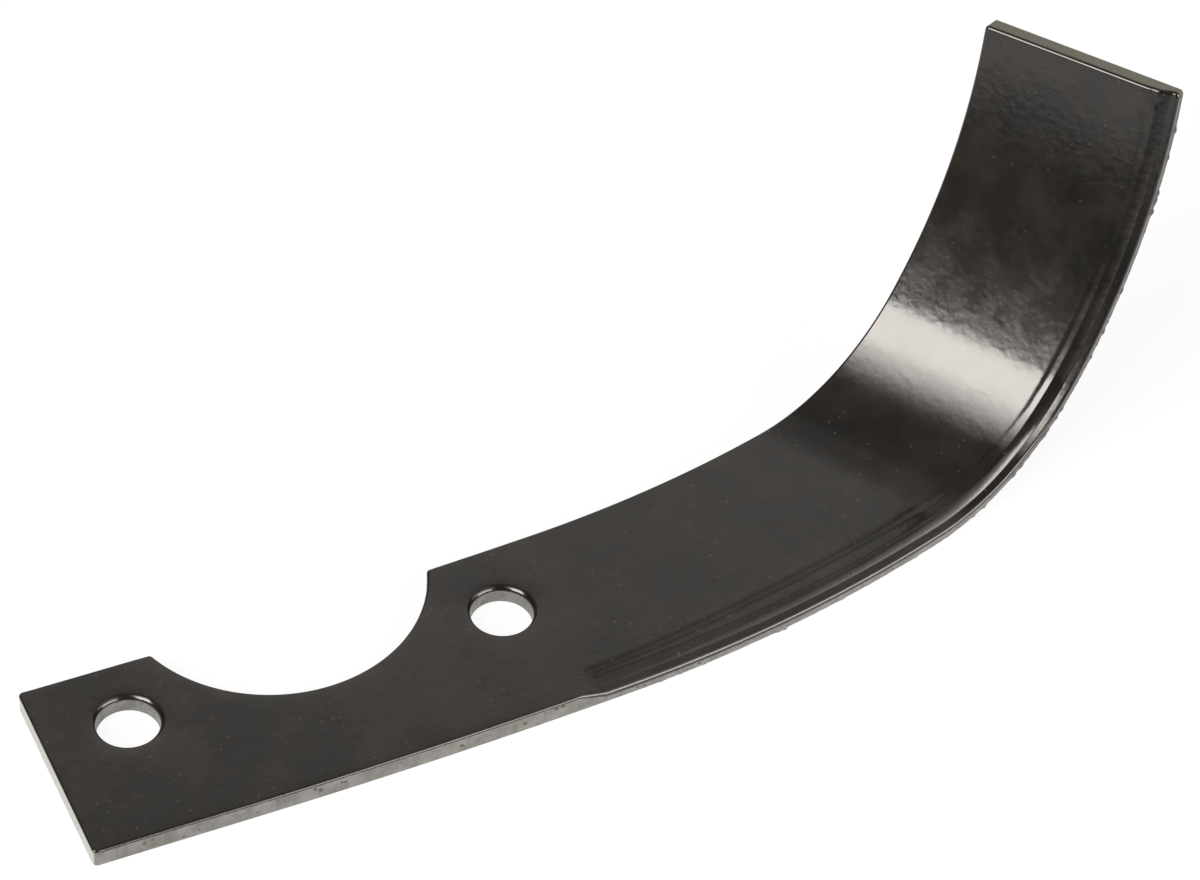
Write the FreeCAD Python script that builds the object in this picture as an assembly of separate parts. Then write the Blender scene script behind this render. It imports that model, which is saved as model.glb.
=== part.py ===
import FreeCAD, Part
import math
import os

# Rotary tiller blade, made in one piece from flat spring-steel bar.  The mounting end stays flat and
# takes two bolts, with a round notch between them that clears the rotor hub.  The rest of the blank
# sweeps backwards in plan like a scimitar, is bent up about an oblique axis, and has its outer edge
# pressed down to a stepped hollow bevel that carries on through the bend to the tip.
#
# Frame in millimetres: origin midway between the two bolt holes on the seat face, +X along the bar
# towards the tip, +Y towards the notched back edge, +Z up through the bar, away from the seat.

# Bar stock
bar_width = 40.0
bar_thickness = 4.0
end_corner_radius = 1.0
notch_corner_radius = 0.8
tip_corner_radius = 0.8

# Mounting end
bolt_hole_diameter = 11.5
bolt_spacing = 72.5
bolt_hole_to_end = 16.0
bolt_hole_to_back_edge = 13.5
hub_notch_radius = 28.8
hub_notch_centre_past_back_edge = 10.0

# Plan shape of the flat blank, measured along its outer (cutting) edge from the mounting end
straight_length = 30.0
ease_radius = 1200.0
ease_angle = 3.5
outer_edge_radius = 294.0
inner_edge_radius = 257.0
outer_edge_length = 277.0
tip_cut_angle = -1.5

# Oblique bend: first a tight radius, then a slack one out to the tip
bend_line_from_end = 184.2
bend_axis_angle = 33.0
bend_inside_radius = 36.0
bend_angle = 59.5
tip_sweep_radius = 200.0

# Stepped bevel along the outer edge: a level land, a steep shoulder, then a shallow hollow up to the face
cutting_edge_thickness = 2.3
bevel_land = 1.9
shoulder_width = 1.2
hollow_depth = 0.4
bevel_start = 93.0
bevel_run_in = 6.0
bevel_start_skew = 3.5
bevel_width_start = 4.8
bevel_width_middle = 7.5
bevel_width_tip = 5.8

# Spacing of the cross-sections along the bend, how far cutting tools stand clear of the steel, and how
# far the hollow's curve runs on past the face, as a share of its width
station_pitch = 6.0
tool_clearance = 3.0
hollow_overrun = 1.3

half_thickness = bar_thickness / 2
end_x = -bolt_spacing / 2 - bolt_hole_to_end
back_y = bolt_hole_to_back_edge
front_y = back_y - bar_width
ease_turn = math.radians(ease_angle)
ease_start_x = end_x + straight_length
ease_length = ease_radius * ease_turn
bevel_depth = bar_thickness - cutting_edge_thickness


# ---------------------------------------------------------------- plan of the flat blank
def plan_curve(distance, start_y, first_radius, second_radius):
    """Point and heading on a long edge: straight, then a slack arc, then the scimitar arc."""
    centre_y = start_y + first_radius
    if distance <= straight_length:
        return end_x + distance, start_y, 0.0
    turned = (distance - straight_length) / first_radius
    if turned <= ease_turn:
        return (ease_start_x + first_radius * math.sin(turned),
                centre_y - first_radius * math.cos(turned), turned)
    past_ease = distance - straight_length - first_radius * ease_turn
    heading = ease_turn + past_ease / second_radius
    step = first_radius - second_radius
    return (ease_start_x + step * math.sin(ease_turn) + second_radius * math.sin(heading),
            centre_y - step * math.cos(ease_turn) - second_radius * math.cos(heading), heading)


def outer_edge(distance, inset=0.0):
    """Plan point on the cutting edge, or inset from it at right angles."""
    x, y, heading = plan_curve(distance, front_y, ease_radius, outer_edge_radius)
    return x - inset * math.sin(heading), y + inset * math.cos(heading)


def back_edge(distance):
    """Plan point on the back edge."""
    x, y, heading = plan_curve(distance, back_y, ease_radius - bar_width, inner_edge_radius)
    return x, y


def bevel_width(distance):
    """Bevel width: a parabola through its start, middle and tip values."""
    part_way = (distance - bevel_start) / (outer_edge_length - bevel_start)
    return ((1 - part_way) * (1 - 2 * part_way) * bevel_width_start
            + 4 * part_way * (1 - part_way) * bevel_width_middle
            + part_way * (2 * part_way - 1) * bevel_width_tip)


# ---------------------------------------------------------------- the oblique bend
axis_turn = math.radians(bend_axis_angle)
across = (math.cos(axis_turn), math.sin(axis_turn))
along_axis = (-math.sin(axis_turn), math.cos(axis_turn))
bend_line = (end_x + bend_line_from_end) * across[0] + front_y * across[1]
middle_radius = bend_inside_radius + half_thickness
tight_length = middle_radius * math.radians(bend_angle)


def past_bend_line(point):
    """How far a plan point lies past the bend line, square to it."""
    return point[0] * across[0] + point[1] * across[1] - bend_line


def bent(point, height):
    """Where a point of the flat blank goes: height is measured from the middle of the thickness."""
    past = past_bend_line(point)
    axial = point[0] * along_axis[0] + point[1] * along_axis[1]
    tight = min(max(past, 0.0), tight_length)
    slack = max(past - tight_length, 0.0)
    tight_turn = tight / middle_radius
    turn = tight_turn + slack / tip_sweep_radius
    run = min(past, 0.0) + middle_radius * math.sin(tight_turn)
    rise = middle_radius * (1 - math.cos(tight_turn))
    run += tip_sweep_radius * (math.sin(turn) - math.sin(tight_turn))
    rise += tip_sweep_radius * (math.cos(tight_turn) - math.cos(turn))
    level = bend_line + run - height * math.sin(turn)
    return FreeCAD.Vector(level * across[0] + axial * along_axis[0],
                          level * across[1] + axial * along_axis[1],
                          half_thickness + rise + height * math.cos(turn))


def on_ruling(curve, past):
    """Plan point where a long edge crosses the line parallel to the bend that lies past it."""
    low = 0.0
    high = 1.5 * outer_edge_length
    while high - low > 1e-9:
        middle = (low + high) / 2
        if past_bend_line(curve(middle)) < past:
            low = middle
        else:
            high = middle
    return curve(low)


def stations(first, last):
    """Evenly spaced distances past the bend line for a run of cross-sections."""
    count = max(3, math.ceil((last - first) / station_pitch))
    return [first + (last - first) * number / count for number in range(count + 1)]


def bar_section(past):
    """Closed outline of the plain bar across one line of the bend."""
    front = on_ruling(outer_edge, past)
    back = on_ruling(back_edge, past)
    corners = [bent(front, -half_thickness), bent(back, -half_thickness),
               bent(back, half_thickness), bent(front, half_thickness)]
    return Part.makePolygon(corners + corners[:1])


def bevel_section(past):
    """Outline of the bevelling tool: level land, steep shoulder, then hollow up and out of the face."""
    floor = half_thickness - bevel_depth
    ceiling = half_thickness + bevel_depth + tool_clearance
    shoulder_top = bevel_land + shoulder_width

    def inset_by(width, height):
        return bent(on_ruling(lambda distance: outer_edge(distance, width), past), height)

    def across_hollow(share, height):
        def curve(distance):
            return outer_edge(distance, shoulder_top + share * (bevel_width(distance) - shoulder_top))
        return bent(on_ruling(curve, past), height)

    def hollow(share):
        return across_hollow(share, half_thickness + hollow_depth * (share ** 2 - 1))

    outside_floor = inset_by(-tool_clearance, floor)
    outside_ceiling = inset_by(-tool_clearance, ceiling)
    land_end = inset_by(bevel_land, floor)
    inside_ceiling = across_hollow(hollow_overrun, ceiling)
    edges = [Part.LineSegment(outside_floor, land_end).toShape(),
             Part.LineSegment(land_end, hollow(0.0)).toShape(),
             Part.Arc(hollow(0.0), hollow(hollow_overrun / 2), hollow(hollow_overrun)).toShape(),
             Part.LineSegment(hollow(hollow_overrun), inside_ceiling).toShape(),
             Part.LineSegment(inside_ceiling, outside_ceiling).toShape(),
             Part.LineSegment(outside_ceiling, outside_floor).toShape()]
    return Part.Wire(edges)


# ---------------------------------------------------------------- flat mounting end
def plan_arc(curve, first, last):
    """Arc of a long edge between two distances along it, on the seat face."""
    points = [curve(first), curve((first + last) / 2), curve(last)]
    return Part.Arc(*[FreeCAD.Vector(x, y, 0) for x, y in points]).toShape()


def distance_at_bend(curve):
    """Distance along a long edge at which it meets the bend line."""
    low = 0.0
    high = outer_edge_length
    while high - low > 1e-9:
        middle = (low + high) / 2
        if past_bend_line(curve(middle)) < 0.0:
            low = middle
        else:
            high = middle
    return low


def long_edge(curve, ease_end):
    """Straight, slack arc and scimitar arc of a long edge, from the mounting end to the bend line."""
    start = FreeCAD.Vector(*curve(0.0), 0)
    knee = FreeCAD.Vector(*curve(straight_length), 0)
    return [Part.LineSegment(start, knee).toShape(), plan_arc(curve, straight_length, ease_end),
            plan_arc(curve, ease_end, distance_at_bend(curve))]


front_edges = long_edge(outer_edge, straight_length + ease_length)
back_edges = long_edge(back_edge, straight_length + (ease_radius - bar_width) * ease_turn)
front_bend = FreeCAD.Vector(*outer_edge(distance_at_bend(outer_edge)), 0)
back_bend = FreeCAD.Vector(*back_edge(distance_at_bend(back_edge)), 0)
outline = front_edges + [Part.LineSegment(front_bend, back_bend).toShape()] + back_edges
end_back = FreeCAD.Vector(end_x, back_y, 0)
end_front = FreeCAD.Vector(end_x, front_y, 0)
outline.append(Part.LineSegment(end_back, end_front).toShape())
outline = Part.Wire(Part.__sortEdges__(outline))
flat = Part.Face(outline).extrude(FreeCAD.Vector(0, 0, bar_thickness))

# ---------------------------------------------------------------- bent blade
tip_front = outer_edge(outer_edge_length)
tip_heading = ease_turn + (outer_edge_length - straight_length - ease_length) / outer_edge_radius
tip_turn = tip_heading + math.radians(tip_cut_angle)
tip_back = (tip_front[0] - bar_width * math.sin(tip_turn), tip_front[1] + bar_width * math.cos(tip_turn))
blade_end = max(past_bend_line(tip_front), past_bend_line(tip_back)) + tool_clearance
tight_bend = Part.makeLoft([bar_section(past) for past in stations(0.0, tight_length)], True, False)
slack_bend = Part.makeLoft([bar_section(past) for past in stations(tight_length, blade_end)], True, False)
blade = flat.fuse([tight_bend, slack_bend]).removeSplitter()

# ---------------------------------------------------------------- stepped bevel
tool_lead = 2 * bevel_width_start
tool_start = past_bend_line(outer_edge(bevel_start - tool_lead))
bevel_tool = Part.makeLoft([bevel_section(past) for past in stations(tool_start, blade_end)], True, False)

# The press leaves a sloping wall where the bevel starts: everything before it is left alone.
rim_start = bent(outer_edge(bevel_start), half_thickness)
full_depth = bent(outer_edge(bevel_start + bevel_run_in), half_thickness - bevel_depth)
inner_start = bent(outer_edge(bevel_start + bevel_start_skew, bevel_width_start), half_thickness)
down_wall = (full_depth - rim_start).normalize() * bar_width
along_wall = (inner_start - rim_start).normalize() * bar_width
wall = Part.makePolygon([rim_start + down_wall + along_wall, rim_start + down_wall - along_wall,
                         rim_start - down_wall - along_wall, rim_start - down_wall + along_wall,
                         rim_start + down_wall + along_wall])
kept_length = 2 * bar_width
kept_full = Part.Face(wall).extrude(FreeCAD.Vector(-kept_length, 0, 0))
blade = blade.cut(bevel_tool.cut(kept_full))

# ---------------------------------------------------------------- tip, bolt holes and hub notch
tip_point = bent(tip_front, 0.0)
tip_across = (bent(tip_back, 0.0) - tip_point).normalize()
tip_normal = (bent(tip_front, half_thickness) - tip_point).normalize()
tip_outward = tip_across.cross(tip_normal).normalize()
if tip_outward.dot(bent(outer_edge(outer_edge_length + 1.0), 0.0) - tip_point) < 0:
    tip_outward = tip_outward * -1
shear_width = 3 * bar_width
shear_height = 2 * bar_width
corner = tip_point - tip_across * bar_width - tip_normal * bar_width
tip_face = Part.makePolygon([corner, corner + tip_across * shear_width,
                             corner + tip_across * shear_width + tip_normal * shear_height,
                             corner + tip_normal * shear_height, corner])
blade = blade.cut(Part.Face(tip_face).extrude(tip_outward * bar_width))

notch_centre = FreeCAD.Vector(0, back_y + hub_notch_centre_past_back_edge, -tool_clearance)
cutters = [Part.makeCylinder(hub_notch_radius, bar_thickness + 2 * tool_clearance, notch_centre)]
for side in (-1, 1):
    base = FreeCAD.Vector(side * bolt_spacing / 2, 0, -tool_clearance)
    cutters.append(Part.makeCylinder(bolt_hole_diameter / 2, bar_thickness + 2 * tool_clearance, base))
blade = blade.cut(cutters)


# ---------------------------------------------------------------- plan corners, slightly rounded
def corner_near(shape, point):
    """The edge through the bar's thickness whose middle lies nearest to a point."""
    through = [edge for edge in shape.Edges if edge.Length < bar_thickness + end_corner_radius]
    return min(through, key=lambda edge: (edge.CenterOfMass - point).Length)


notch_half_width = math.sqrt(hub_notch_radius ** 2 - hub_notch_centre_past_back_edge ** 2)
corners = [((end_x, front_y), end_corner_radius), ((end_x, back_y), end_corner_radius),
           ((-notch_half_width, back_y), notch_corner_radius),
           ((notch_half_width, back_y), notch_corner_radius),
           (tip_back, tip_corner_radius), (tip_front, tip_corner_radius)]
for plan_point, radius in corners:
    blade = blade.makeFillet(radius, [corner_near(blade, bent(plan_point, 0.0))])

blade = blade.Solids[0]
print("solids", len(blade.Solids), "valid", blade.isValid(), "volume", round(blade.Volume, 1))
os.makedirs("parts", exist_ok=True)
blade.exportStep("parts/tine_blade.step")
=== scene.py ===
import bpy
import math
import random
import numpy as np
from mathutils import Matrix, Vector, noise
from mathutils.geometry import delaunay_2d_cdt


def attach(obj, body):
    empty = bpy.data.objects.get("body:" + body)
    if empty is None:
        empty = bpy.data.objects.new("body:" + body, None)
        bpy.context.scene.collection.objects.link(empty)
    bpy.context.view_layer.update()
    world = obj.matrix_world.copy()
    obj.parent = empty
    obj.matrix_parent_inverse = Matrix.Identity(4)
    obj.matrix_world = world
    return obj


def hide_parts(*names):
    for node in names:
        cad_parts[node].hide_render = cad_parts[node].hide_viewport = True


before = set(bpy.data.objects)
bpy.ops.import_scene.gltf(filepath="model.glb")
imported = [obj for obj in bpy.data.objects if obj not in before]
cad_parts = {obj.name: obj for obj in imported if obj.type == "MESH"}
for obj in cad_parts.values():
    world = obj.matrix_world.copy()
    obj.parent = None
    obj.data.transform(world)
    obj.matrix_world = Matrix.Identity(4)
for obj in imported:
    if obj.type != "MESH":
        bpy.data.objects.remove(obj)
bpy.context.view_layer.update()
scene = bpy.context.scene

# ---------------------------------------------------------------- camera
# A long lens in front of the cutting edge and to the left, looking down at the blade from about
# 45 degrees and rolled a few degrees, aimed at a point beside the middle of the blade.
lens_mm = 134.94
sensor_mm = 36.0
camera_distance = 0.855956
aim_point = Vector((0.071106, 0.033634, 0.004))
towards_camera = Vector((-0.32191, -0.63300, 0.70405)).normalized()
camera_roll = math.radians(3.84)
nearest_seen, farthest_seen = 0.01, 50.0

level_right = (-towards_camera).cross(Vector((0, 0, 1))).normalized()
level_up = level_right.cross(-towards_camera)
camera_right = math.cos(camera_roll) * level_right + math.sin(camera_roll) * level_up
camera_up = math.cos(camera_roll) * level_up - math.sin(camera_roll) * level_right
camera_data = bpy.data.cameras.new("camera")
camera_data.sensor_width = sensor_mm
camera_data.lens = lens_mm
camera_data.clip_start = nearest_seen
camera_data.clip_end = farthest_seen
camera = bpy.data.objects.new("camera", camera_data)
scene.collection.objects.link(camera)
axes = Matrix((camera_right, camera_up, towards_camera)).transposed().to_4x4()
camera.matrix_world = Matrix.Translation(aim_point + towards_camera * camera_distance) @ axes
scene.camera = camera
scene.view_settings.view_transform = "Standard"

# ---------------------------------------------------------------- studio
# A white paper table in a dim room, which keeps the blade's soft shadow.  A softbox stands low on the
# left and a wider one low on the right, each fading out upwards, with a pale panel behind and two faint
# ones overhead.
table_corners = ((-0.30, -0.30), (0.74, -0.30), (0.74, 0.70), (-0.30, 0.70))
table_colour = (0.80, 0.80, 0.80, 1.0)
table_white_share = 0.90
room_level = 0.09
white_colour = (1.0, 1.0, 1.0, 1.0)
lamp_colour = (1.0, 0.975, 0.955)
lamp_distance = 1.6
bend_middle = Vector((0.135, 0.010, 0.020))


def add_node(tree, kind, inputs=None, **settings):
    """Shader node with its settings made and its sockets set or linked."""
    made = tree.nodes.new(kind)
    for name, value in settings.items():
        setattr(made, name, value)
    for socket, value in (inputs or {}).items():
        if isinstance(value, bpy.types.NodeSocket):
            tree.links.new(value, made.inputs[socket])
        else:
            made.inputs[socket].default_value = value
    return made


table_mesh = bpy.data.meshes.new("white_table")
table_mesh.from_pydata([(x, y, 0) for x, y in table_corners], [], [(0, 1, 2, 3)])
table = bpy.data.objects.new("white_table", table_mesh)
scene.collection.objects.link(table)

table_paper = bpy.data.materials.new("white_paper")
table_paper.use_nodes = True
tree = table_paper.node_tree
tree.nodes.clear()
ray = add_node(tree, "ShaderNodeLightPath")
looked_at = add_node(tree, "ShaderNodeMath", {0: ray.outputs["Is Camera Ray"],
                                              1: ray.outputs["Is Glossy Ray"]}, operation="MAXIMUM")
looked_at = add_node(tree, "ShaderNodeMath", {0: looked_at.outputs[0],
                                              1: ray.outputs["Is Transmission Ray"]}, operation="MAXIMUM")
white_share = add_node(tree, "ShaderNodeMath", {0: looked_at.outputs[0], 1: table_white_share},
                       operation="MULTIPLY")
matt = add_node(tree, "ShaderNodeBsdfDiffuse", {"Color": table_colour})
white = add_node(tree, "ShaderNodeEmission", {"Color": white_colour, "Strength": 1.0})
paper = add_node(tree, "ShaderNodeMixShader", {0: white_share.outputs[0], 1: matt.outputs[0],
                                               2: white.outputs[0]})
add_node(tree, "ShaderNodeOutputMaterial", {"Surface": paper.outputs[0]})
table_mesh.materials.append(table_paper)

room = bpy.data.worlds.new("dim_room")
scene.world = room
room.use_nodes = True
tree = room.node_tree
tree.nodes.clear()
ray = add_node(tree, "ShaderNodeLightPath")
dim = add_node(tree, "ShaderNodeBackground", {"Color": white_colour, "Strength": room_level})
white = add_node(tree, "ShaderNodeBackground", {"Color": white_colour, "Strength": 1.0})
backdrop = add_node(tree, "ShaderNodeMixShader", {0: ray.outputs["Is Camera Ray"], 1: dim.outputs[0],
                                                  2: white.outputs[0]})
add_node(tree, "ShaderNodeOutputWorld", {"Surface": backdrop.outputs[0]})


def panel(name, azimuth, elevation, wide, high, level):
    """Rectangular lamp of a given angular size and brightness, facing the bend."""
    turn, lift = math.radians(azimuth), math.radians(elevation)
    outward = Vector((math.cos(lift) * math.cos(turn), math.cos(lift) * math.sin(turn),
                      math.sin(lift)))
    lamp_data = bpy.data.lights.new(name, "AREA")
    lamp_data.shape = "RECTANGLE"
    lamp_data.size = 2 * lamp_distance * math.tan(math.radians(wide / 2))
    lamp_data.size_y = 2 * lamp_distance * math.tan(math.radians(high / 2))
    lamp_data.color = lamp_colour
    lamp_data.energy = level * math.pi * lamp_data.size * lamp_data.size_y
    lamp = bpy.data.objects.new(name, lamp_data)
    lamp.location = bend_middle + outward * lamp_distance
    lamp.rotation_mode = "QUATERNION"
    lamp.rotation_quaternion = outward.to_track_quat("Z", "Y")
    scene.collection.objects.link(lamp)


def fading_panel(name, azimuth, wide, first, strip, levels):
    """Stack of lamp strips, each one above the last, for a softbox that fades out upwards."""
    for number, level in enumerate(levels):
        panel(name, azimuth, first + strip * (number + 0.5), wide, strip, level)


# Angles in degrees: azimuth from +X, elevation, width and height.  A fade takes its lowest elevation,
# the height of one strip and the brightness of each.
panel("left_softbox", -163, 30, 34, 27, 13.4)
fading_panel("left_softbox_fade", -164, 36, 44, 4.0, (9.4, 7.2, 4.2, 2.0, 0.9))
panel("right_softbox", -60, 15, 48, 22, 10.0)
fading_panel("right_softbox_fade", -47, 60, 26, 7.0, (4.6, 2.7, 1.6, 1.05, 0.75))
panel("back_panel", 62, 33, 60, 30, 0.71)
fading_panel("back_panel_fade", 62, 60, 48, 4.0, (0.54, 0.41, 0.31, 0.22, 0.14))
panel("ceiling_panel", 120, 80, 44, 34, 0.12)
panel("right_ceiling_panel", -18, 68, 50, 20, 0.46)

# ---------------------------------------------------------------- the blade: outline of the blank
# One piece of flat steel bar, sheared and punched flat, then pressed and bent hot.  Here the blank's
# outline is laid out in millimetres: bar edges, tip shear, hub notch and bolt holes.
bar_width = 40.0
bar_thickness = 4.0
end_x = -52.25
back_y = 13.5
front_y = back_y - bar_width
straight_length = 30.0
ease_radius = 1200.0
ease_turn = math.radians(3.5)
outer_edge_radius = 294.0
inner_edge_radius = 257.0
outer_edge_length = 277.0
tip_cut_angle = math.radians(-1.5)
hub_notch_radius = 28.8
hub_notch_y = back_y + 10.0
bolt_hole_radius = 5.75
bolt_hole_x = 36.25
end_corner_radius = 1.0
notch_corner_radius = 0.8
tip_corner_radius = 0.8
ease_start_x = end_x + straight_length
fine_pitch, coarse_pitch, notch_pitch, end_pitch, corner_pitch = 0.32, 0.9, 0.6, 0.5, 0.2
tip_steps = 80
hole_steps = 96
corner_gap = 0.1
longest_back_edge = 320.0
farthest_notch = 40.0
length_tolerance = 1e-7


def plan_curve(distance, start_y, first_radius, second_radius):
    """Point and heading on a long edge: straight, then a slack arc, then the scimitar arc."""
    centre_y = start_y + first_radius
    if distance <= straight_length:
        return end_x + distance, start_y, 0.0
    turned = (distance - straight_length) / first_radius
    if turned <= ease_turn:
        return (ease_start_x + first_radius * math.sin(turned),
                centre_y - first_radius * math.cos(turned), turned)
    heading = ease_turn + (distance - straight_length - first_radius * ease_turn) / second_radius
    step = first_radius - second_radius
    return (ease_start_x + step * math.sin(ease_turn) + second_radius * math.sin(heading),
            centre_y - step * math.cos(ease_turn) - second_radius * math.cos(heading), heading)


def outer_edge(distance):
    """Point on the edge that is pressed to a bevel."""
    x, y, heading = plan_curve(distance, front_y, ease_radius, outer_edge_radius)
    return x, y


def back_edge(distance):
    """Point on the edge that carries the notch."""
    x, y, heading = plan_curve(distance, back_y, ease_radius - bar_width, inner_edge_radius)
    return x, y


def bisect(low, high, beyond):
    """Where a test along a length first turns true."""
    while high - low > length_tolerance:
        middle = (low + high) / 2
        if beyond(middle):
            high = middle
        else:
            low = middle
    return low


tip_front = outer_edge(outer_edge_length)
tip_heading = plan_curve(outer_edge_length, front_y, ease_radius, outer_edge_radius)[2]
tip_turn = tip_heading + tip_cut_angle


def past_tip(point):
    """How far a plan point lies past the sheared tip."""
    return ((point[0] - tip_front[0]) * math.cos(tip_turn)
            + (point[1] - tip_front[1]) * math.sin(tip_turn))


def outside_notch(distance):
    """Whether a point on the back edge lies clear of the notch."""
    x, y = back_edge(distance)
    return math.hypot(x, y - hub_notch_y) > hub_notch_radius


back_tip_at = bisect(0.0, longest_back_edge, lambda distance: past_tip(back_edge(distance)) > 0)
notch_far_at = bisect(-end_x, -end_x + farthest_notch, outside_notch)
notch_near_at = -end_x - math.sqrt(hub_notch_radius ** 2 - (hub_notch_y - back_y) ** 2)


def run_of(curve, first, last, pitch):
    """Points along a curve at an even pitch."""
    count = max(2, round(abs(last - first) / pitch))
    return [curve(first + (last - first) * k / count) for k in range(count + 1)]


def notch_run():
    """Hub notch, walked from its far corner back to its near one."""
    far = back_edge(notch_far_at)
    start = math.atan2(far[1] - hub_notch_y, far[0])
    near = (end_x + notch_near_at, back_y)
    stop = math.atan2(near[1] - hub_notch_y, near[0])
    stop -= 2 * math.pi if stop > start else 0.0
    count = round(hub_notch_radius * (start - stop) / notch_pitch)
    return [(hub_notch_radius * math.cos(start + (stop - start) * k / count),
             hub_notch_y + hub_notch_radius * math.sin(start + (stop - start) * k / count))
            for k in range(count + 1)]


tip_back = back_edge(back_tip_at)
sides = [run_of(outer_edge, 0.0, outer_edge_length, fine_pitch),
         run_of(lambda k: (tip_front[0] + (tip_back[0] - tip_front[0]) * k,
                           tip_front[1] + (tip_back[1] - tip_front[1]) * k), 0.0, 1.0, 1 / tip_steps),
         run_of(back_edge, back_tip_at, notch_far_at, coarse_pitch),
         notch_run(),
         run_of(back_edge, notch_near_at, 0.0, coarse_pitch),
         run_of(lambda y: (end_x, y), back_y, front_y, end_pitch)]
corner_radii = [tip_corner_radius, tip_corner_radius, notch_corner_radius, notch_corner_radius,
                end_corner_radius, end_corner_radius]


def rounded_loop(runs, radii):
    """Closed outline from consecutive runs, with each corner between two runs rounded off."""
    corners = []
    for number, run in enumerate(runs):
        following = runs[(number + 1) % len(runs)]
        corner = Vector(run[-1])
        arriving = (corner - Vector(run[-3])).normalized()
        leaving = (Vector(following[2]) - corner).normalized()
        turn = arriving.angle_signed(leaving)
        setback = radii[number] * abs(math.tan(turn / 2))
        corners.append((corner, arriving, leaving, setback, radii[number]))
    loop = []
    for number, run in enumerate(runs):
        before, after = corners[number - 1], corners[number]
        loop += [Vector(p) for p in run
                 if (Vector(p) - before[0]).length > before[3] + corner_gap
                 and (Vector(p) - after[0]).length > after[3] + corner_gap]
        corner, arriving, leaving, setback, radius = after
        inward = Vector((-arriving.y, arriving.x))
        centre = corner - arriving * setback + inward * radius
        first = corner - arriving * setback - centre
        sweep = first.angle_signed(corner + leaving * setback - centre)
        count = max(4, round(abs(sweep) * radius / corner_pitch))
        for k in range(count + 1):
            angle = -sweep * k / count
            loop.append(centre + Vector((first.x * math.cos(angle) - first.y * math.sin(angle),
                                         first.x * math.sin(angle) + first.y * math.cos(angle))))
    return np.array([tuple(p) for p in loop])


def hole_loop(centre_x):
    """Bolt hole, walked clockwise so that the steel lies on its left."""
    return np.array([(centre_x + bolt_hole_radius * math.cos(-2 * math.pi * k / hole_steps),
                      bolt_hole_radius * math.sin(-2 * math.pi * k / hole_steps))
                     for k in range(hole_steps)])


loops = [rounded_loop(sides, corner_radii), hole_loop(-bolt_hole_x), hole_loop(bolt_hole_x)]


def inward_of(loop):
    """Unit plan direction into the steel at each point of a loop."""
    tangent = np.roll(loop, -1, axis=0) - np.roll(loop, 1, axis=0)
    tangent /= np.linalg.norm(tangent, axis=1)[:, None]
    return np.stack([-tangent[:, 1], tangent[:, 0]], axis=1)


inwards = [inward_of(loop) for loop in loops]
outline_points = np.concatenate(loops)


def clearance(points):
    """Distance of plan points from the nearest outline."""
    nearest = np.empty(len(points))
    batch = 2000    # keeps the distance table small
    for start in range(0, len(points), batch):
        block = points[start:start + batch]
        gap = block[:, None, :] - outline_points[None, :, :]
        nearest[start:start + batch] = np.sqrt((gap ** 2).sum(axis=2).min(axis=1))
    return nearest


# ---------------------------------------------------------------- the blade: pressed cutting edge
# The outer edge is forged down over a soft crease, a rounded shoulder that grows steeper towards the
# bend, and a land, with a sloping run-in.  Punched edges also pull the face down a little beside them.
cutting_edge_thickness = 2.3
bevel_depth = bar_thickness - cutting_edge_thickness
bevel_start = 93.0
bevel_run_in = 6.0
bevel_skew = 0.7
land_width = 1.6
shoulder_crest = 3.7
crest_slope = 0.15
# Along the edge: where the crease lies, how steep the shoulder gets and how late it does so.
stations = (93, 105, 118, 134, 152, 170, 190, 207, 277)
crease_insets = (4.6, 5.0, 5.6, 6.35, 6.5, 6.3, 5.6, 5.05, 5.0)
shoulder_slopes = (0.55, 0.60, 0.65, 0.80, 0.86, 0.92, 1.10, 0.75, 0.75)
shoulder_powers = (2.2, 2.2, 2.2, 2.2, 2.2, 2.2, 2.2, 1.5, 1.5)
crease_drop = 0.30
crease_reach = 1.9
crease_overlap = 0.65
run_in_softness = 0.12
hole_draw, notch_draw, edge_draw = 0.16, 0.10, 0.04
hole_draw_width, notch_draw_width, edge_draw_width = 1.6, 1.2, 0.8
waver_height, waver_length, waver_margin = 0.035, 19, 4


def edge_coordinates(points):
    """Distance along the cutting edge and inset from it, for plan points."""
    x, y = points[:, 0], points[:, 1]
    along = x - end_x
    inset = y - front_y
    centre_y = front_y + ease_radius
    turned = np.arctan2(x - ease_start_x, centre_y - y)
    eased = turned > 0
    along = np.where(eased, straight_length + ease_radius * turned, along)
    inset = np.where(eased, ease_radius - np.hypot(x - ease_start_x, y - centre_y), inset)
    step = ease_radius - outer_edge_radius
    centre_x = ease_start_x + step * math.sin(ease_turn)
    centre_y = centre_y - step * math.cos(ease_turn)
    turned = np.arctan2(x - centre_x, centre_y - y)
    swept = turned > ease_turn
    swept_start = straight_length + ease_radius * ease_turn
    along = np.where(swept, swept_start + outer_edge_radius * (turned - ease_turn), along)
    inset = np.where(swept, outer_edge_radius - np.hypot(x - centre_x, y - centre_y), inset)
    return along, inset


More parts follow.
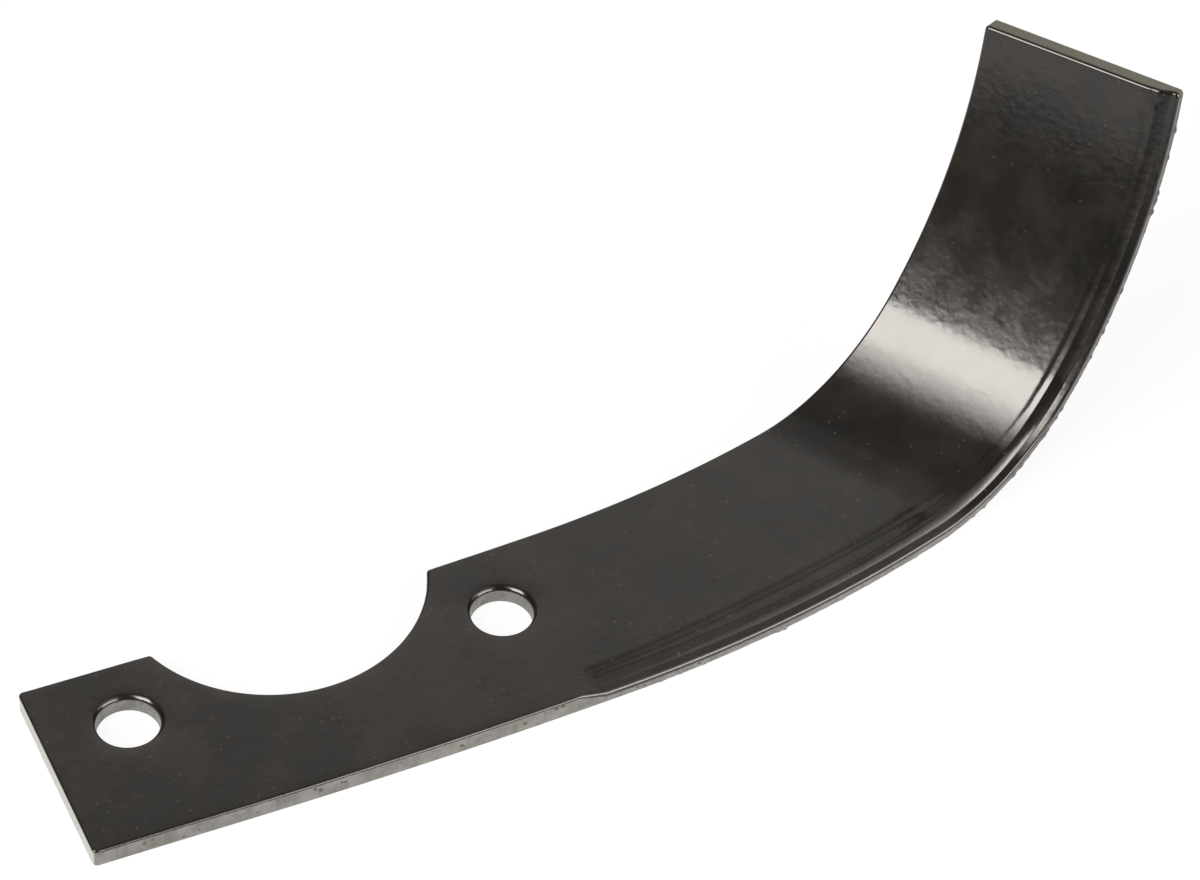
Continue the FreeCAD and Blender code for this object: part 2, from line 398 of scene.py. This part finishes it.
def bevel_drop(points):
    """How far the press has pushed the upper face down."""
    along, inset = edge_coordinates(points)
    width = shoulder_crest - land_width
    steepest = np.interp(along, stations, shoulder_slopes)
    power = np.interp(along, stations, shoulder_powers)
    down = np.clip((shoulder_crest - inset) / width, 0.0, 1.0)
    shoulder = width * (crest_slope * down + (steepest - crest_slope) * down ** power / power)
    top = np.interp(along, stations, crease_insets) + crease_reach
    fallen = np.clip((top - inset) / (crease_reach + crease_overlap), 0.0, 1.0)
    crease = crease_drop * fallen ** 4 * (5 - 4 * fallen)
    corner = crease_drop + width * (crest_slope + (steepest - crest_slope) / power)
    land = (bevel_depth - corner) * np.clip(1 - inset / land_width, 0.0, 1.0)
    profile = crease + shoulder + land
    wall = bevel_depth * (along - bevel_start - bevel_skew * inset) / bevel_run_in
    share = np.clip(0.5 + 0.5 * (wall - profile) / run_in_softness, 0, 1)
    pressed = wall + (profile - wall) * share - run_in_softness * share * (1 - share)
    return np.maximum(pressed, 0.0)


def upper_height(points, gap):
    """Height of the upper face above the middle of the bar, before its rim is rounded."""
    from_holes = np.minimum(np.hypot(points[:, 0] + bolt_hole_x, points[:, 1]),
                            np.hypot(points[:, 0] - bolt_hole_x, points[:, 1])) - bolt_hole_radius
    from_notch = np.abs(np.hypot(points[:, 0], points[:, 1] - hub_notch_y) - hub_notch_radius)
    draw = hole_draw * np.exp(-np.maximum(from_holes, 0) / hole_draw_width)
    draw += notch_draw * np.exp(-from_notch / notch_draw_width) + edge_draw * np.exp(-gap / edge_draw_width)
    draw *= np.clip(gap * 2 + 0.6, 0, 1)
    waver = np.array([noise.noise(Vector((x / waver_length, y / waver_length, 3.1))) for x, y in points])
    waver *= waver_height * np.clip(gap / waver_margin, 0, 1)
    return bar_thickness / 2 - bevel_drop(points) - draw + waver - waver_height


# ---------------------------------------------------------------- the blade: skin of the blank
# Rings follow every outline from the upper face over the rolled rim, down the sheared wall and under
# the lower rim, and triangles fill the two faces, finest where the bevel turns.  Pits, chips and a
# thin ragged flash from the press are part of the rings.
mm_per_metre = 1000
edge_tolerance = 0.3
edge_from, edge_to = 1.5, outer_edge_length - 1.2

# Radii of the rolled rims, shares of them at which a ring lies, and how far down the enamel reaches.
edge_rim, end_rim, tip_rim, hole_rim = 0.48, 0.32, 0.56, 0.95
lower_rim = 0.24
rim_stations = (0.2, 2.0, outer_edge_length - 1.0, outer_edge_length - 0.3)
rim_shares = (1.12, 1.0, 0.78, 0.57, 0.38, 0.22, 0.10, 0.02, 0.0)
edge_paint, bevel_paint, bend_paint, tip_paint, hole_paint = 0.50, 0.80, 1.50, 0.62, 0.95
paint_stations = (93, 99, 185, 205)
tip_paint_from = outer_edge_length - 0.8
wall_rows = 12
wall_waver, wall_waver_length, wall_waver_height = 0.02, 2.5, 1.5
flash_from, flash_to = bevel_start + 4, outer_edge_length - 3
flash_run_in, flash_run_out, flash_stand, flash_ragged, flash_length = 25, 5, 0.04, 0.07, 1.1

# Pits: place along the edge, height, radius and depth.  Chips: place, half width and reach.
dice = random.Random(11)
pits = [(dice.uniform(3, 90), dice.uniform(-1.2, 1.0), dice.uniform(0.25, 0.45), dice.uniform(0.10, 0.24))
        for _ in range(15)]
pits += [(dice.uniform(96, 200), dice.uniform(-1.4, -0.4), 0.3, dice.uniform(0.06, 0.14))
         for _ in range(12)]
chips = [(dice.uniform(104, 270), dice.uniform(0.2, 0.7), dice.uniform(0.05, 0.24)) for _ in range(42)]

skin_points = []
skin_height = []
skin_edge_place = []
faces = []


def rim_fall(share):
    """Drop of a rolled rim, at a share of its radius in from the edge, as a share of that radius."""
    return 1 - math.sqrt(1 - max(1 - share, 0) ** 2)


def add_ring(plan, height, below_face, above_back, pit):
    """Points of one ring, with how far each lies from both faces and how deep it sits in a pit."""
    start = len(skin_points)
    skin_points.extend(map(tuple, plan))
    skin_height.extend(np.broadcast_to(height, len(plan)))
    place = np.stack([np.broadcast_to(part, len(plan)) for part in (below_face, above_back, pit)], axis=1)
    skin_edge_place.extend(map(tuple, place))
    return start


def flash(along, on_edge, share):
    """How far the ragged flash stands out from the cutting edge, growing down the wall."""
    fade = np.clip((along - flash_from) / flash_run_in, 0, 1)
    fade *= np.clip((flash_to - along) / flash_run_out, 0, 1)
    ragged = np.array([max(noise.fractal(Vector((place / flash_length, 0.4, 7.7)), 0.8, 2.1, 4), -0.2)
                       for place in along])
    stand = flash_stand + flash_ragged * ragged
    for centre, half_width, reach in chips:
        stand = stand + reach * np.exp(-((along - centre) / half_width) ** 4)
    return np.where(on_edge, fade * stand * share ** 1.6, 0.0)


def pitting(along, on_edge, height):
    """Depth of the pits in the wall at a height."""
    depth = np.zeros(len(along))
    for centre, level, radius, deep in pits:
        near = ((along - centre) ** 2 + (height - level) ** 2) / radius ** 2
        depth = np.maximum(depth, deep * np.exp(-near))
    return np.where(on_edge, depth, 0.0)


upper_loops = []
lower_loops = []
rim_plan = []
for number, (loop, inward) in enumerate(zip(loops, inwards)):
    along, inset = edge_coordinates(loop)
    on_edge = (np.abs(inset) < edge_tolerance) & (along > edge_from) & (along < edge_to)
    radius = np.interp(along, rim_stations, (end_rim, edge_rim, edge_rim, tip_rim))
    paint_reach = np.where(on_edge, np.interp(along, paint_stations,
                                              (edge_paint, bevel_paint, bevel_paint, bend_paint)),
                           edge_paint)
    paint_reach = np.where(along > tip_paint_from, tip_paint, paint_reach)
    if number:
        radius = np.full(len(loop), hole_rim)
        paint_reach = np.full(len(loop), hole_paint)
    rings = []
    for share in rim_shares:
        plan = loop + inward * (share * radius)[:, None]
        fall = rim_fall(share) * radius
        height = upper_height(plan, share * radius) - fall
        rings.append(add_ring(plan, height, fall / paint_reach, height + bar_thickness / 2, 0.0))
    rim_plan.append(loop + inward * (rim_shares[0] * radius)[:, None])
    face_height = upper_height(loop, np.zeros(len(loop)))
    top_of_wall = face_height - radius
    bottom_of_wall = -bar_thickness / 2 + lower_rim
    for row in range(1, wall_rows):
        share = row / wall_rows
        height = top_of_wall + (bottom_of_wall - top_of_wall) * share
        pit = pitting(along, on_edge, height)
        waver = np.array([noise.noise(Vector((x / wall_waver_length, y / wall_waver_length,
                                              level / wall_waver_height)))
                          for (x, y), level in zip(loop, height)])
        uneven = wall_waver * waver - wall_waver
        plan = loop + inward * (pit - uneven - flash(along, on_edge, share))[:, None]
        rings.append(add_ring(plan, height, (face_height - height) / paint_reach,
                              height + bar_thickness / 2, pit))
    for share in reversed(rim_shares):
        reach = share * radius
        out = flash(along, on_edge, 1.0) * (1 - share / rim_shares[0])
        plan = loop + inward * (reach - out)[:, None]
        fall = rim_fall(share) * lower_rim
        height = fall - bar_thickness / 2
        rings.append(add_ring(plan, height, (face_height - height) / paint_reach, fall, 0.0))
    count = len(loop)
    for above, below in zip(rings[:-1], rings[1:]):
        for k in range(count):
            after = (k + 1) % count
            faces.append((above + k, below + k, below + after, above + after))
    upper_loops.append(range(rings[0], rings[0] + count))
    lower_loops.append(range(rings[-1], rings[-1] + count))

# Points for the faces: rows beside the cutting edge, rings beside the other edges, a lattice between.
outer_loop, outer_inward = loops[0], inwards[0]
rows_from, rows_to = bevel_start - 7, outer_edge_length + 0.5
kept_clearance = 0.985
merge_size = 0.3
weld_gap = 1e-5
hole_ring_setback = 0.5
ring_reaches = ((1.05, 1), (1.55, 2), (2.0, 2), (2.8, 3), (3.8, 4))
lattice_pitch, lattice_row_share, lattice_rows, lattice_columns = 1.5, 0.866, 110, 200
lattice_inset, lattice_clearance = 10.9, 4.4
bevel_rows = [0.84, 1.10, 1.35, 1.53, 1.60, 1.68, 1.78, 1.92, 2.10, 2.30, 2.55, 2.80, 3.10, 3.40, 3.70]
bevel_rows += [4.0 + 0.35 * k for k in range(19)]
along, inset = edge_coordinates(outer_loop)
on_front = (np.abs(inset) < edge_tolerance) & (along > rows_from) & (along < rows_to)
front_loop, front_inward = outer_loop[on_front], outer_inward[on_front]
filling = []
for reach in bevel_rows:
    plan = (front_loop + front_inward * reach)[::2]
    filling.append(plan[clearance(plan) > kept_clearance * reach])
rings_of_points = []
for reach, pitch in ring_reaches:
    for loop, inward in zip(loops, inwards):
        setback = 0.0 if loop is outer_loop else hole_ring_setback
        plan = (loop + inward * (reach + setback))[::pitch]
        plan = plan[clearance(plan) > kept_clearance * reach]
        along, inset = edge_coordinates(plan)
        beside_bevel = (along > rows_from) & (np.abs(inset - reach) < 0.05)
        rings_of_points.append(plan[~beside_bevel])
kept = {}
for x, y in np.concatenate(rings_of_points):
    kept.setdefault((round(x / merge_size), round(y / merge_size)), (x, y))
filling.append(np.array(list(kept.values())))
lattice = np.array([(end_x + lattice_pitch * (column + 0.5 * (row % 2)),
                     front_y + lattice_pitch * lattice_row_share * row)
                    for row in range(lattice_rows) for column in range(lattice_columns)])


def inside(points, loop):
    """Whether plan points lie inside a closed outline."""
    result = np.zeros(len(points), bool)
    for (x0, y0), (x1, y1) in zip(loop, np.roll(loop, -1, axis=0)):
        crosses = (y0 > points[:, 1]) != (y1 > points[:, 1])
        if crosses.any():
            result ^= crosses & (points[:, 0] < x0 + (points[:, 1] - y0) * (x1 - x0) / (y1 - y0))
    return result


along, inset = edge_coordinates(lattice)
lattice = lattice[~((along > rows_from - 0.5) & (inset < lattice_inset))]
lattice = lattice[inside(lattice, outer_loop)]
for hole in loops[1:]:
    lattice = lattice[~inside(lattice, hole)]
filling.append(lattice[clearance(lattice) > lattice_clearance])
filling = np.concatenate(filling)
filling = filling[inside(filling, outer_loop)]

fences = []
start = 0
for ring in rim_plan:
    count = len(ring)
    fences += [(start + k, start + (k + 1) % count) for k in range(count)]
    start += count
rim_plan = [tuple(p) for ring in rim_plan for p in ring]
flat_points = [Vector(p) for p in rim_plan] + [Vector(p) for p in filling]
sheet = delaunay_2d_cdt(flat_points, fences, [], 0, weld_gap)
sheet_points = np.array([tuple(p) for p in sheet[0]])
sheet_faces, sheet_origins = sheet[2], sheet[3]
middles = np.array([sheet_points[list(face)].mean(axis=0) for face in sheet_faces])
solid = inside(middles, np.array(rim_plan[:len(outer_loop)]))
start = len(outer_loop)
for hole in loops[1:]:
    solid &= ~inside(middles, np.array(rim_plan[start:start + len(hole)]))
    start += len(hole)
upper_rim_points = [k for ring in upper_loops for k in ring]
lower_rim_points = [k for ring in lower_loops for k in ring]
heights = upper_height(sheet_points, clearance(sheet_points))
upper_of = {}
lower_of = {}
for number, origins in enumerate(sheet_origins):
    first = min(origins)
    if first < len(rim_plan):
        upper_of[number] = upper_rim_points[first]
        lower_of[number] = lower_rim_points[first]
    else:
        here = sheet_points[number:number + 1]
        thick = heights[number] + bar_thickness / 2
        upper_of[number] = add_ring(here, heights[number], 0.0, thick, 0.0)
        lower_of[number] = add_ring(here, -bar_thickness / 2, thick, 0.0, 0.0)
for face, keep in zip(sheet_faces, solid):
    if keep:
        faces.append(tuple(upper_of[k] for k in face))
        faces.append(tuple(lower_of[k] for k in reversed(face)))

skin_points = np.array(skin_points)
skin_height = np.array(skin_height)
blade_mesh = bpy.data.meshes.new("forged_blade")
blade_mesh.from_pydata(np.column_stack([skin_points, skin_height]) / mm_per_metre, [], faces)
along, inset = edge_coordinates(skin_points)
for name, values in (("edge_place", np.array(skin_edge_place)),
                     ("blank_place", np.column_stack([along, inset, skin_height]))):
    attribute = blade_mesh.attributes.new(name, "FLOAT_VECTOR", "POINT")
    attribute.data.foreach_set("vector", values.astype(np.float32).ravel())
blade_mesh.shade_smooth()
blade = bpy.data.objects.new("tiller_blade", blade_mesh)
scene.collection.objects.link(blade)

# ---------------------------------------------------------------- the blade: paint and bare steel
# Thin glossy black enamel over hot-formed steel, with an orange-peel skin, faint brown mottling and a
# few pale specks.  It stops just past the rolled rims, and below it the sheared walls are bare grey
# steel with dark pits, brown staining and faint streaks through the thickness.
enamel_black = (0.0044, 0.0038, 0.0031, 1)
enamel_brown = (0.0110, 0.0078, 0.0054, 1)
enamel_rust = (0.0200, 0.0105, 0.0068, 1)
speck_colour = (0.080, 0.066, 0.048, 1)
steel_dark = (0.140, 0.137, 0.124, 1)
steel_light = (0.205, 0.201, 0.186, 1)
# Pale colour for the mounting end face: bare steel with the reflection of the white table painted into it.
end_face_painted_reflection = (0.430, 0.443, 0.414, 1)
tip_steel = (0.190, 0.184, 0.146, 1)
bend_steel = (0.070, 0.066, 0.056, 1)
stain_colour = (0.080, 0.062, 0.045, 1)
enamel_ior = 1.61
enamel_tint = (1.0, 0.965, 0.930, 1)
bare_metallic = 0.6
relief_height = 0.000027

paint = bpy.data.materials.new("black_enamel_on_steel")
paint.use_nodes = True
tree = paint.node_tree
tree.nodes.clear()


def calculate(operation, first, second=0.0):
    """One step of arithmetic in the paint tree."""
    return add_node(tree, "ShaderNodeMath", {0: first, 1: second}, operation=operation).outputs[0]


def between(value, low, high, to_low=0.0, to_high=1.0):
    """Smooth climb of a value from one level to another."""
    made = add_node(tree, "ShaderNodeMapRange", {"Value": value, "From Min": low, "From Max": high,
                                                 "To Min": to_low, "To Max": to_high})
    made.interpolation_type = "SMOOTHSTEP"
    return made.outputs[0]


def blend(factor, first, second):
    """Mix of two colours."""
    return add_node(tree, "ShaderNodeMix", {"Factor": factor, 6: first, 7: second},
                    data_type="RGBA").outputs[2]


def grain(scale, detail=2.0, roughness=0.5, vector=None):
    """Noise around one half."""
    made = add_node(tree, "ShaderNodeTexNoise", {"Vector": vector or place, "Scale": scale,
                                                 "Detail": detail, "Roughness": roughness})
    return made.outputs["Fac"]


place = add_node(tree, "ShaderNodeTexCoord").outputs["Object"]
edge_place = add_node(tree, "ShaderNodeAttribute", attribute_name="edge_place").outputs["Vector"]
below_face, above_back, pit = add_node(tree, "ShaderNodeSeparateXYZ", {0: edge_place}).outputs
blank_place = add_node(tree, "ShaderNodeAttribute", attribute_name="blank_place").outputs["Vector"]
along_edge = add_node(tree, "ShaderNodeSeparateXYZ", {0: blank_place}).outputs[0]
through_wall = add_node(tree, "ShaderNodeMapping", {"Vector": place, "Scale": (1.0, 1.0, 0.22)}).outputs[0]

# Where the steel is bare, with a wandering border to the enamel on both faces.
wander = calculate("SUBTRACT", grain(900, 3.0), 0.5)
paint_line = add_node(tree, "ShaderNodeMath", {0: wander, 1: 0.55, 2: below_face},
                      operation="MULTIPLY_ADD")
back_line = add_node(tree, "ShaderNodeMath", {0: wander, 1: 0.22, 2: above_back},
                     operation="MULTIPLY_ADD")
bare = calculate("MULTIPLY", between(paint_line.outputs[0], 0.94, 1.08),
                 between(back_line.outputs[0], 0.10, 0.20))

# Enamel: brown mottling, rust that thickens towards the mounting end, and pale specks.
mottle = between(grain(70, 5.0, 0.62), 0.42, 0.68)
enamel = blend(mottle, enamel_black, enamel_brown)
near_end = between(along_edge, 92, 12, 0.12, 0.75)
rust = calculate("MULTIPLY", between(grain(150, 6.0, 0.68), 0.54, 0.72), near_end)
enamel = blend(rust, enamel, enamel_rust)
cells = add_node(tree, "ShaderNodeTexVoronoi", {"Vector": place, "Scale": 900.0})
lottery = add_node(tree, "ShaderNodeSeparateColor", {0: cells.outputs["Color"]}).outputs
speck = calculate("MULTIPLY", between(cells.outputs["Distance"], 0.30, 0.10),
                  between(lottery[0], 0.86, 1.0, 0.0, 0.40))
enamel = blend(speck, enamel, speck_colour)

# Steel: mottled grey, darker round the bend, pale on the mounting end as a painted reflection of the white
# table over its bare steel, olive on the tip, then stained.
streaks = grain(1500, 3.0, 0.6, through_wall)
steel = blend(between(grain(330, 4.0, 0.55), 0.35, 0.65), steel_dark, steel_light)
steel = blend(between(streaks, 0.30, 0.75, 0.0, 0.35), steel, steel_light)
steel = blend(between(along_edge, 183, 206), steel, bend_steel)
steel = blend(between(along_edge, 0.35, 0.10), steel, end_face_painted_reflection)
steel = blend(between(along_edge, outer_edge_length - 0.8, outer_edge_length - 0.3), steel, tip_steel)
steel = blend(between(grain(420, 4.0, 0.6), 0.58, 0.76, 0.0, 0.5), steel, stain_colour)
steel = blend(between(pit, 0.02, 0.10, 0.0, 0.92), steel, stain_colour)

base = blend(bare, enamel, steel)
enamel_gloss = between(grain(180, 3.0), 0.35, 0.65, 0.15, 0.19)
steel_gloss = between(streaks, 0.30, 0.70, 0.54, 0.42)
gloss = add_node(tree, "ShaderNodeMix", {"Factor": bare, 2: enamel_gloss, 3: steel_gloss}).outputs[0]
metal = calculate("MULTIPLY", bare, bare_metallic)
fine_grain = calculate("MULTIPLY", grain(3200, 2.0), 0.12)
enamel_skin = calculate("ADD", grain(640, 1.5, 0.45), fine_grain)
surface = add_node(tree, "ShaderNodeMix", {"Factor": bare, 2: enamel_skin, 3: streaks}).outputs[0]
relief = add_node(tree, "ShaderNodeBump", {"Height": surface, "Strength": 1.0, "Distance": relief_height})
finish = add_node(tree, "ShaderNodeBsdfPrincipled", {"Base Color": base, "Metallic": metal,
                                                     "Roughness": gloss, "Normal": relief.outputs[0],
                                                     "IOR": enamel_ior, "Specular Tint": enamel_tint})
add_node(tree, "ShaderNodeOutputMaterial", {"Surface": finish.outputs[0]})

# ---------------------------------------------------------------- the blade: oblique bend
# The flat forging is folded hot over a former whose axis runs askew to the bar: a tight radius
# first, then a slack one out to the tip.
axis_turn = math.radians(33.0)
bend_angle = math.radians(59.5)
bend_line_from_end = 184.2
bend_inside_radius = 36.0
tip_sweep_radius = 200.0
bend_line = (end_x + bend_line_from_end) * math.cos(axis_turn) + front_y * math.sin(axis_turn)
sizes = {"Bend Line": bend_line / mm_per_metre, "Axis Turn": axis_turn,
         "Middle Radius": (bend_inside_radius + bar_thickness / 2) / mm_per_metre,
         "Bend Angle": bend_angle, "Tip Sweep Radius": tip_sweep_radius / mm_per_metre,
         "Half Thickness": bar_thickness / 2 / mm_per_metre}

bend = bpy.data.node_groups.new("oblique_bend", "GeometryNodeTree")
bend.interface.new_socket("Geometry", in_out="INPUT", socket_type="NodeSocketGeometry")
sockets = {}
for name, value in sizes.items():
    made = bend.interface.new_socket(name, in_out="INPUT", socket_type="NodeSocketFloat")
    made.default_value = value
    sockets[name] = made.identifier
made = bend.interface.new_socket("Finish", in_out="INPUT", socket_type="NodeSocketMaterial")
sockets["Finish"] = made.identifier
bend.interface.new_socket("Geometry", in_out="OUTPUT", socket_type="NodeSocketGeometry")
given = bend.nodes.new("NodeGroupInput")
result = bend.nodes.new("NodeGroupOutput")


def figure(operation, first, second=None):
    """One step of arithmetic in the bend tree."""
    step = bend.nodes.new("ShaderNodeMath")
    step.operation = operation
    for socket, value in zip(step.inputs, (first, second)):
        if isinstance(value, (int, float)):
            socket.default_value = value
        elif value is not None:
            bend.links.new(value, socket)
    return step.outputs[0]


position = bend.nodes.new("GeometryNodeInputPosition")
apart = bend.nodes.new("ShaderNodeSeparateXYZ")
bend.links.new(position.outputs[0], apart.inputs[0])
x, y, height = apart.outputs
cos_axis = figure("COSINE", given.outputs["Axis Turn"])
sin_axis = figure("SINE", given.outputs["Axis Turn"])
across = figure("ADD", figure("MULTIPLY", x, cos_axis), figure("MULTIPLY", y, sin_axis))
axial = figure("SUBTRACT", figure("MULTIPLY", y, cos_axis), figure("MULTIPLY", x, sin_axis))
past = figure("SUBTRACT", across, given.outputs["Bend Line"])
tight_length = figure("MULTIPLY", given.outputs["Middle Radius"], given.outputs["Bend Angle"])
tight = figure("MINIMUM", figure("MAXIMUM", past, 0.0), tight_length)
slack = figure("MAXIMUM", figure("SUBTRACT", past, tight_length), 0.0)
tight_turn = figure("DIVIDE", tight, given.outputs["Middle Radius"])
turn = figure("ADD", tight_turn, figure("DIVIDE", slack, given.outputs["Tip Sweep Radius"]))
sin_tight, cos_tight = figure("SINE", tight_turn), figure("COSINE", tight_turn)
sin_turn, cos_turn = figure("SINE", turn), figure("COSINE", turn)
run = figure("ADD", figure("MINIMUM", past, 0.0),
             figure("MULTIPLY", given.outputs["Middle Radius"], sin_tight))
run = figure("ADD", run, figure("MULTIPLY", given.outputs["Tip Sweep Radius"],
                                figure("SUBTRACT", sin_turn, sin_tight)))
rise = figure("MULTIPLY", given.outputs["Middle Radius"], figure("SUBTRACT", 1.0, cos_tight))
rise = figure("ADD", rise, figure("MULTIPLY", given.outputs["Tip Sweep Radius"],
                                  figure("SUBTRACT", cos_tight, cos_turn)))
level = figure("SUBTRACT", figure("ADD", given.outputs["Bend Line"], run),
               figure("MULTIPLY", height, sin_turn))
bent_x = figure("SUBTRACT", figure("MULTIPLY", level, cos_axis), figure("MULTIPLY", axial, sin_axis))
bent_y = figure("ADD", figure("MULTIPLY", level, sin_axis), figure("MULTIPLY", axial, cos_axis))
bent_z = figure("ADD", figure("ADD", given.outputs["Half Thickness"], rise),
                figure("MULTIPLY", height, cos_turn))
together = bend.nodes.new("ShaderNodeCombineXYZ")
for socket, value in zip(together.inputs, (bent_x, bent_y, bent_z)):
    bend.links.new(value, socket)
move = bend.nodes.new("GeometryNodeSetPosition")
bend.links.new(given.outputs["Geometry"], move.inputs["Geometry"])
bend.links.new(together.outputs[0], move.inputs["Position"])
real = bend.nodes.new("GeometryNodeRealizeInstances")
bend.links.new(move.outputs[0], real.inputs[0])
dress = bend.nodes.new("GeometryNodeSetMaterial")
bend.links.new(real.outputs[0], dress.inputs["Geometry"])
bend.links.new(given.outputs["Finish"], dress.inputs["Material"])
bend.links.new(dress.outputs[0], result.inputs["Geometry"])

fold = blade.modifiers.new("oblique_bend", "NODES")
fold.node_group = bend
for name, value in sizes.items():
    fold[sockets[name]] = value
fold[sockets["Finish"]] = paint
folded = bpy.data.meshes.new_from_object(blade.evaluated_get(bpy.context.evaluated_depsgraph_get()))
blade.modifiers.remove(fold)
blade.data = folded
folded.name = "tiller_blade"
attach(blade, "root")
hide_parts("tine_blade")
